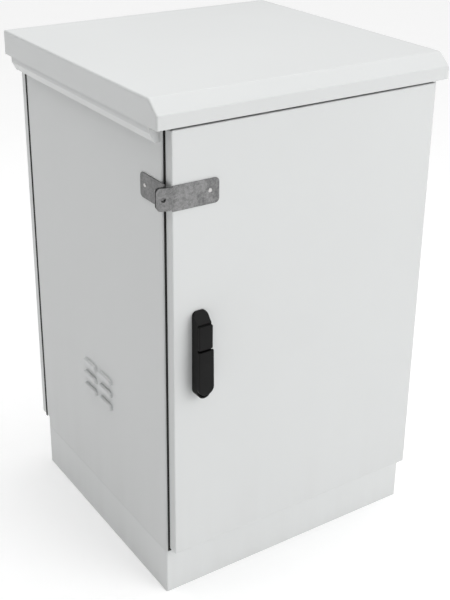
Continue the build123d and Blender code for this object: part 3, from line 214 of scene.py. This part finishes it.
def galvanised(name, level, crystal):
    metal = Finish(name, {"Metallic": 0.82, "Specular IOR Level": 0.5})
    spangle = metal.cells(crystal, "Color")
    shade = metal.node("ShaderNodeSeparateColor", None, {0: spangle}, 0)
    fine = metal.node(
        "ShaderNodeSeparateColor", None, {0: metal.cells(crystal * 3.1, "Color")}, 1
    )
    bloom = metal.noise(38.0, 4.0)
    runs = metal.noise(1.0, 3.0, (60.0, 60.0, 18.0))
    mottle = (0.62 * shade + 0.38 * fine) * 0.45 + 0.3 * bloom + 0.4 * runs
    dull, bright = grey(level * 0.66, -0.01), grey(level * 1.5)
    tone = metal.tint(metal.ramp(mottle, 0.35, 0.75), dull, bright)
    metal.surface({
        "Base Color": tone,
        "Roughness": 0.34 + 0.22 * shade + 0.12 * bloom,
        "Normal": metal.bump(shade + 0.6 * fine, 0.00006, 0.5),
    })
    return metal


hasp_zinc = galvanised("galvanised_sheet", 0.205, 230.0)
dress(hasp_zinc, "hasp_front_plate", "hasp_side_plate", "gland_plate")

# Plated fixings: hinge leaves, bolts, nuts, rods, equipment rails and rivets.
# Steel with a thin electroplated zinc coat, drawn or rolled, with faint drawing lines.


def plated(name, level, warmth, roughness, lines=(900.0, 900.0, 12.0)):
    metal = Finish(name, {"Metallic": 1.0, "Specular IOR Level": 0.5})
    drawn = metal.noise(1.0, 3.0, lines)
    bloom = metal.noise(60.0, 3.0)
    metal.surface({
        "Base Color": metal.tint(bloom, grey(level * 0.82, warmth), grey(level, warmth)),
        "Roughness": roughness + 0.14 * drawn + 0.10 * bloom,
        "Normal": metal.bump(drawn, 0.00003, 0.4),
    })
    return metal


bright_zinc = plated("bright_zinc", 0.62, 0.015, 0.26)
dress(
    bright_zinc,
    "roof_bolts", "rear_panel_nuts", "hinge_frame_leaf_upper", "hinge_frame_leaf_lower",
    "hinge_door_leaf_upper", "hinge_door_leaf_lower", "hasp_side_rivets", "hasp_front_rivet",
    "plinth_bolts", "rod_upper", "rod_lower", "gearbox_cover", "latch_tongue", "tongue_screw",
    "rack_rail_left", "rack_rail_right",
)
turned_steel = plated("turned_steel", 0.56, 0.0, 0.20, (30.0, 1400.0, 30.0))
dress(turned_steel, "hinge_pins", "lever_pin", "rod_pinion", "lock_cylinder", "cylinder_plug")
die_cast = plated("die_cast_zinc", 0.50, 0.0, 0.42, (160.0, 160.0, 160.0))
dress(die_cast, "gearbox_housing", "handle_hub")
plain_brass = plated("plain_brass", 0.55, 0.22, 0.24)
dress(plain_brass, "earth_stud")

# Handle, lock cover, glands and rod guides: injection moulded glass filled nylon.
# The mould's fine spark grain breaks up the gloss, and handling polishes it here and there.


def moulded(name, shade, roughness, grain_depth, gloss=0.5):
    plastic = Finish(name, {"Specular IOR Level": gloss})
    grain = plastic.noise(1900.0, 2.0)
    rubbed = plastic.noise(34.0, 3.0)
    lighter = tuple(channel * 1.35 for channel in shade[:3]) + (1.0,)
    plastic.surface({
        "Base Color": plastic.tint(plastic.ramp(rubbed, 0.35, 0.8), shade, lighter),
        "Roughness": roughness - 0.12 * rubbed + 0.08 * grain,
        "Normal": plastic.bump(grain, grain_depth, 0.6),
    })
    return plastic


black_nylon = moulded("black_nylon", (0.006, 0.006, 0.006, 1.0), 0.42, 0.00006, 0.12)
dress(black_nylon, "handle_dish", "handle_lever", "lock_cover")
dark_nylon = moulded("gland_nylon", (0.045, 0.046, 0.05, 1.0), 0.50, 0.00005)
dress(dark_nylon, "cable_glands")
natural_nylon = moulded("natural_nylon", (0.66, 0.65, 0.60, 1.0), 0.52, 0.00004)
dress(natural_nylon, "rod_guide_upper", "rod_guide_lower")

# Gaskets: beads of foamed rubber laid round inside the door and the rear panel.
# Each is one ring, flat where it sticks to the sheet and crowned where the lips press.


def piece(name, form, finish, body, sharp=40.0):
    """Makes a piece of a bmesh, smooth apart from its sharp edges, and lets it ride on a body."""
    bmesh.ops.recalc_face_normals(form, faces=form.faces)
    mesh = bpy.data.meshes.new(name)
    form.to_mesh(mesh)
    form.free()
    mesh.shade_smooth()
    mesh.set_sharp_from_angle(angle=radians(sharp))
    mesh.materials.append(finish.material)
    made = bpy.data.objects.new(name, mesh)
    bpy.context.scene.collection.objects.link(made)
    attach(made, body)
    return made


def soft_black(name, shade, pore):
    rubber = Finish(name, {"Specular IOR Level": 0.35})
    pores = rubber.cells(pore)
    dusty = rubber.noise(24.0, 4.0)
    rubber.surface({
        "Base Color": rubber.tint(dusty, grey(shade), grey(shade * 2.2, 0.03)),
        "Roughness": 0.74 + 0.18 * dusty,
        "Normal": rubber.bump(pores, 0.00025, 0.8),
    })
    return rubber


# This black also colours the painted shade strip behind the door's free edge.
rubber_and_painted_shade_black = soft_black("foamed_rubber_and_painted_shade", 0.016, 1100.0)
gasket_width = 0.009
gasket_corner = 0.016
gasket_crown = 0.0034


def gasket(name, replaced, body, free_side):
    """A ring in the box of the solid it stands for, crowned on its free side."""
    low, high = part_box(replaced)
    low, high = Vector(low), Vector(high)
    size = high - low
    form = bmesh.new()
    bmesh.ops.create_grid(form, x_segments=1, y_segments=1, size=0.5)
    bmesh.ops.scale(form, vec=(size.x, size.z, 1.0), verts=form.verts)
    bmesh.ops.bevel(
        form, geom=form.verts[:], offset=gasket_corner, segments=6, profile=0.5,
        affect="VERTICES", material=-1,
    )
    middle = form.faces[:]
    bmesh.ops.inset_region(
        form, faces=middle, thickness=gasket_width, use_even_offset=True, use_boundary=True
    )
    bmesh.ops.delete(form, geom=middle, context="FACES_ONLY")
    loose = [edge for edge in form.edges if not edge.link_faces]
    bmesh.ops.delete(form, geom=loose, context="EDGES")
    bmesh.ops.solidify(form, geom=form.faces[:], thickness=size.y)
    turn = Matrix.Rotation(radians(90), 4, "X")
    bmesh.ops.transform(form, matrix=turn, verts=form.verts)
    lowest = min(vert.co.y for vert in form.verts)
    bmesh.ops.translate(
        form, vec=((low.x + high.x) / 2, low.y - lowest, (low.z + high.z) / 2), verts=form.verts
    )
    crown_y = high.y if free_side > 0 else low.y
    crown = [
        edge for edge in form.edges
        if all(abs(vert.co.y - crown_y) < 1e-5 for vert in edge.verts)
        and edge.calc_face_angle(0.0) > radians(60)
    ]
    bmesh.ops.bevel(
        form, geom=crown, offset=gasket_crown, segments=4, profile=0.5, affect="EDGES", material=-1
    )
    made = piece(name, form, rubber_and_painted_shade_black, body)
    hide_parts(replaced)


gasket("door_gasket", "door_seal", "door", 1)
gasket("rear_gasket", "rear_seal", "cabinet", -1)

# Dark strips: thin blocks in the gaskets' black.
# The one on the frame's front fold, behind the door's free edge, is painted shade for the shaded gap
# there. One on each side fold of the rear panel stands in for a dark joint, which the solids don't
# have.
strip_round = 0.0003


def strip(name, low, high, body):
    """A thin black block in the box from low to high, with slightly rounded edges."""
    low, high = Vector(low), Vector(high)
    form = bmesh.new()
    bmesh.ops.create_cube(form, size=1.0)
    bmesh.ops.scale(form, vec=high - low, verts=form.verts)
    bmesh.ops.bevel(
        form, geom=form.edges[:], offset=strip_round, segments=2, profile=0.5,
        affect="EDGES", material=-1,
    )
    bmesh.ops.translate(form, vec=(low + high) / 2, verts=form.verts)
    piece(name, form, rubber_and_painted_shade_black, body, 60.0)


fold_face = -0.270
door_edge_overlap = (-0.2965, -0.285)
strip_thickness = 0.002
panel_low, panel_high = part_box("rear_panel")
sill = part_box("side_panel_left")[0][2] + strip_thickness
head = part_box("side_panel_left")[1][2] - strip_thickness
# Painted shade: a black strip on the fold behind the door's free edge, standing for the shaded gap
# there.
strip(
    "door_gap_painted_shade_strip", (door_edge_overlap[0], fold_face - strip_thickness, sill),
    (door_edge_overlap[1], fold_face, head), "cabinet",
)
joint_back = 0.0185
joint_width = 0.007
joint_proud = 0.0007
joint_rear = panel_high[1] - joint_back
joint_front = joint_rear - joint_width
joint_foot = panel_low[2] + strip_thickness
joint_head = panel_high[2] - strip_thickness
for side, inner, outer in (
    ("left", panel_low[0], panel_low[0] - joint_proud),
    ("right", panel_high[0], panel_high[0] + joint_proud),
):
    near, far = sorted((inner, outer))
    strip(
        f"rear_joint_strip_{side}", (near, joint_front, joint_foot), (far, joint_rear, joint_head),
        "cabinet",
    )

# Vent mats: open cell foam cut to a block and stuck behind the louvres.
# Its cut faces are full of open pores, and its edges are soft and slightly uneven.
mat_foam = soft_black("open_cell_foam", 0.03, 520.0)
mat_edge = 0.003
mat_swell = 0.0008
for side in ("left", "right"):
    low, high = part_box(f"vent_filter_{side}")
    low, high = Vector(low), Vector(high)
    form = bmesh.new()
    bmesh.ops.create_cube(form, size=1.0)
    bmesh.ops.scale(form, vec=high - low, verts=form.verts)
    bmesh.ops.bevel(
        form, geom=form.edges[:], offset=mat_edge, segments=3, profile=0.5,
        affect="EDGES", material=-1,
    )
    long_edges = [edge for edge in form.edges if edge.calc_length() > 4 * mat_edge]
    bmesh.ops.subdivide_edges(form, edges=long_edges, cuts=11, use_grid_fill=True)
    for vert in form.verts:
        ripple = sin(vert.co.y * 190.0) * cos(vert.co.z * 230.0)
        vert.co.x -= mat_swell * (0.5 + 0.5 * ripple) * (1 if vert.co.x > 0 else -1)
    bmesh.ops.translate(form, vec=(low + high) / 2, verts=form.verts)
    mat = piece(f"vent_mat_{side}", form, mat_foam, "cabinet", 60.0)
    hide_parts(f"vent_filter_{side}")

# Threads: rolled on the earth stud, the plinth bolts and the roof bolts.
# Each is one ridge that winds up its shank, with flanks at sixty degrees.
thread_steps = 16
thread_proud = 0.00012
thread_depth = 0.55
thread_foot = 0.96
thread_crest = 0.125


def thread(name, foot, direction, length, radius, pitch, finish, body):
    """One helical ridge of the given length, from foot along direction."""
    form = bmesh.new()
    outer = radius + thread_proud
    inner = outer - pitch * thread_depth
    crest = (0.5 - thread_crest / 2, 0.5 + thread_crest / 2)
    corners = [
        form.verts.new((inner, 0.0, 0.0)),
        form.verts.new((outer, 0.0, pitch * thread_foot * crest[0])),
        form.verts.new((outer, 0.0, pitch * thread_foot * crest[1])),
        form.verts.new((inner, 0.0, pitch * thread_foot)),
    ]
    edges = [form.edges.new((corners[i], corners[(i + 1) % 4])) for i in range(4)]
    turns = max(1, int(length / pitch) - 1)
    bmesh.ops.spin(
        form, geom=corners + edges, cent=(0.0, 0.0, 0.0), axis=(0.0, 0.0, 1.0),
        dvec=(0.0, 0.0, pitch / thread_steps), angle=2 * pi * turns, steps=thread_steps * turns,
        use_merge=False,
    )
    bmesh.ops.holes_fill(form, edges=[edge for edge in form.edges if edge.is_boundary], sides=4)
    lie = Vector((0.0, 0.0, 1.0)).rotation_difference(Vector(direction)).to_matrix().to_4x4()
    bmesh.ops.transform(form, matrix=Matrix.Translation(Vector(foot)) @ lie, verts=form.verts)
    return piece(name, form, finish, body, 25.0)


stud_low, stud_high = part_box("earth_stud")
stud_x = (stud_low[0] + stud_high[0]) / 2
stud_y = (stud_low[1] + stud_high[1]) / 2
stud_radius = 0.004
stud_nut_top = 0.1061
thread(
    "earth_stud_thread", (stud_x, stud_y, stud_nut_top), (0, 0, 1), stud_high[2] - stud_nut_top,
    stud_radius, 0.00125, plain_brass, "cabinet",
)
plinth_bolt = ("plinth_bolts", 0.005, 0.0038, 0.0015, 1.9, False)
roof_bolt = ("roof_bolts", 0.004, 0.0042, 0.00125, 1.8, True)
for group, radius, length, pitch, head_ratio, ends_up in (plinth_bolt, roof_bolt):
    low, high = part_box(group)
    reach = radius * head_ratio
    for across in (-1, 1):
        for along in (0, 1):
            x = (high[0] - reach) * across
            y = (low[1], high[1])[along] + (1, -1)[along] * reach * cos(radians(30))
            end = high[2] if ends_up else low[2]
            foot = (x, y, end - length if ends_up else end + length)
            corner = f"{('left', 'right')[across > 0]}_{('front', 'rear')[along]}"
            thread(
                f"{group}_thread_{corner}", foot, (0, 0, 1 if ends_up else -1), length, radius, pitch,
                bright_zinc, "cabinet",
            )

# Studio: a pale floor, a white surround that is brightest overhead and on the right, and
# two soft panels. The large one stands in front and to the right, so the door is lighter
# than the left side, and the small one hangs over the roof's left edge.
floor_reach = 30.0
paper_glow = 0.25
floor_paper = Finish("floor_paper", {
    "Roughness": 0.9, "Specular IOR Level": 0.1, "Emission Strength": paper_glow,
})
paper = floor_paper.noise(5.0, 2.0)
floor_paper.surface({
    "Base Color": floor_paper.tint(paper, grey(0.87), grey(0.89)),
    "Emission Color": (1.0, 1.0, 1.0, 1.0),
})
form = bmesh.new()
bmesh.ops.create_grid(form, x_segments=1, y_segments=1, size=floor_reach)
mesh = bpy.data.meshes.new("floor")
form.to_mesh(mesh)
form.free()
mesh.materials.append(floor_paper.material)
floor = bpy.data.objects.new("floor", mesh)
bpy.context.scene.collection.objects.link(floor)

world = bpy.data.worlds.new("surround")
bpy.context.scene.world = world
world.use_nodes = True
sky = world.node_tree
sky_place = sky.nodes.new("ShaderNodeTexCoord")
sky_split = sky.nodes.new("ShaderNodeSeparateXYZ")
sky.links.new(sky_place.outputs["Generated"], sky_split.inputs[0])
sky_square = sky.nodes.new("ShaderNodeMath")
sky_square.operation = "MULTIPLY"
sky.links.new(sky_split.outputs["Z"], sky_square.inputs[0])
sky.links.new(sky_split.outputs["Z"], sky_square.inputs[1])
sky_strength = sky.nodes.new("ShaderNodeMath")
sky_strength.operation = "MULTIPLY"
sky.links.new(sky_square.outputs[0], sky_strength.inputs[0])
sky_overhead = 1.0
sky_lean = (1.1, -0.03, 0.0)
sky_strength.inputs[1].default_value = sky_overhead
sky_side = sky.nodes.new("ShaderNodeVectorMath")
sky_side.operation = "DOT_PRODUCT"
sky.links.new(sky_place.outputs["Generated"], sky_side.inputs[0])
sky_side.inputs[1].default_value = sky_lean
sky_bright_side = sky.nodes.new("ShaderNodeMath")
sky_bright_side.operation = "MAXIMUM"
sky.links.new(sky_side.outputs["Value"], sky_bright_side.inputs[0])
sky_bright_side.inputs[1].default_value = 0.0
sky_total = sky.nodes.new("ShaderNodeMath")
sky_total.operation = "ADD"
sky.links.new(sky_strength.outputs[0], sky_total.inputs[0])
sky.links.new(sky_bright_side.outputs[0], sky_total.inputs[1])
sky_light = sky.nodes["Background"]
sky_light.inputs["Color"].default_value = (1.0, 1.0, 1.0, 1.0)
sky.links.new(sky_total.outputs[0], sky_light.inputs["Strength"])


def panel_light(name, place, target, size, power):
    """A square soft light at place that faces target."""
    light = bpy.data.lights.new(name, "AREA")
    light.size = size
    light.energy = power
    lamp = bpy.data.objects.new(name, light)
    lamp.location = place
    lamp.rotation_mode = "QUATERNION"
    lamp.rotation_quaternion = (Vector(target) - Vector(place)).to_track_quat("-Z", "Y")
    bpy.context.scene.collection.objects.link(lamp)


key_size = 2.4
key_watts = 53.0
panel_light("key_panel", (1.5, -3.6, 2.3), (0.0, 0.0, 0.45), key_size, key_watts)
top_size = 1.2
top_watts = 14.5
panel_light("top_panel", (-0.7, 0.3, 2.6), (-0.2, 0.0, 1.0), top_size, top_watts)

# Camera: the photograph was taken from the front left, a little above the roof.
# Its middle lies below the picture's optical centre, which the lens shift brings back.
turn_about = radians(-33.54)
look_down = radians(23.19)
tilt = radians(0.65)
focal_pixels = 1088.35
picture_height = 600.0
optical_centre = 240.0
sensor = 36.0
back = Vector((sin(turn_about) * cos(look_down), -cos(turn_about) * cos(look_down), sin(look_down)))
level_right = Vector((cos(turn_about), sin(turn_about), 0.0))
level_up = back.cross(level_right)
right = cos(tilt) * level_right + sin(tilt) * level_up
upward = cos(tilt) * level_up - sin(tilt) * level_right
lens = bpy.data.cameras.new("photo_camera")
lens.sensor_width = sensor
lens.lens = focal_pixels / picture_height * sensor
lens.shift_y = (optical_centre - picture_height / 2) / picture_height
camera = bpy.data.objects.new("photo_camera", lens)
place = Matrix((right, upward, back)).transposed().to_4x4()
place.translation = (-1.16082, -1.76353, 1.50235)
camera.matrix_world = place
bpy.context.scene.collection.objects.link(camera)
bpy.context.scene.camera = camera
bpy.context.scene.view_settings.view_transform = "Standard"
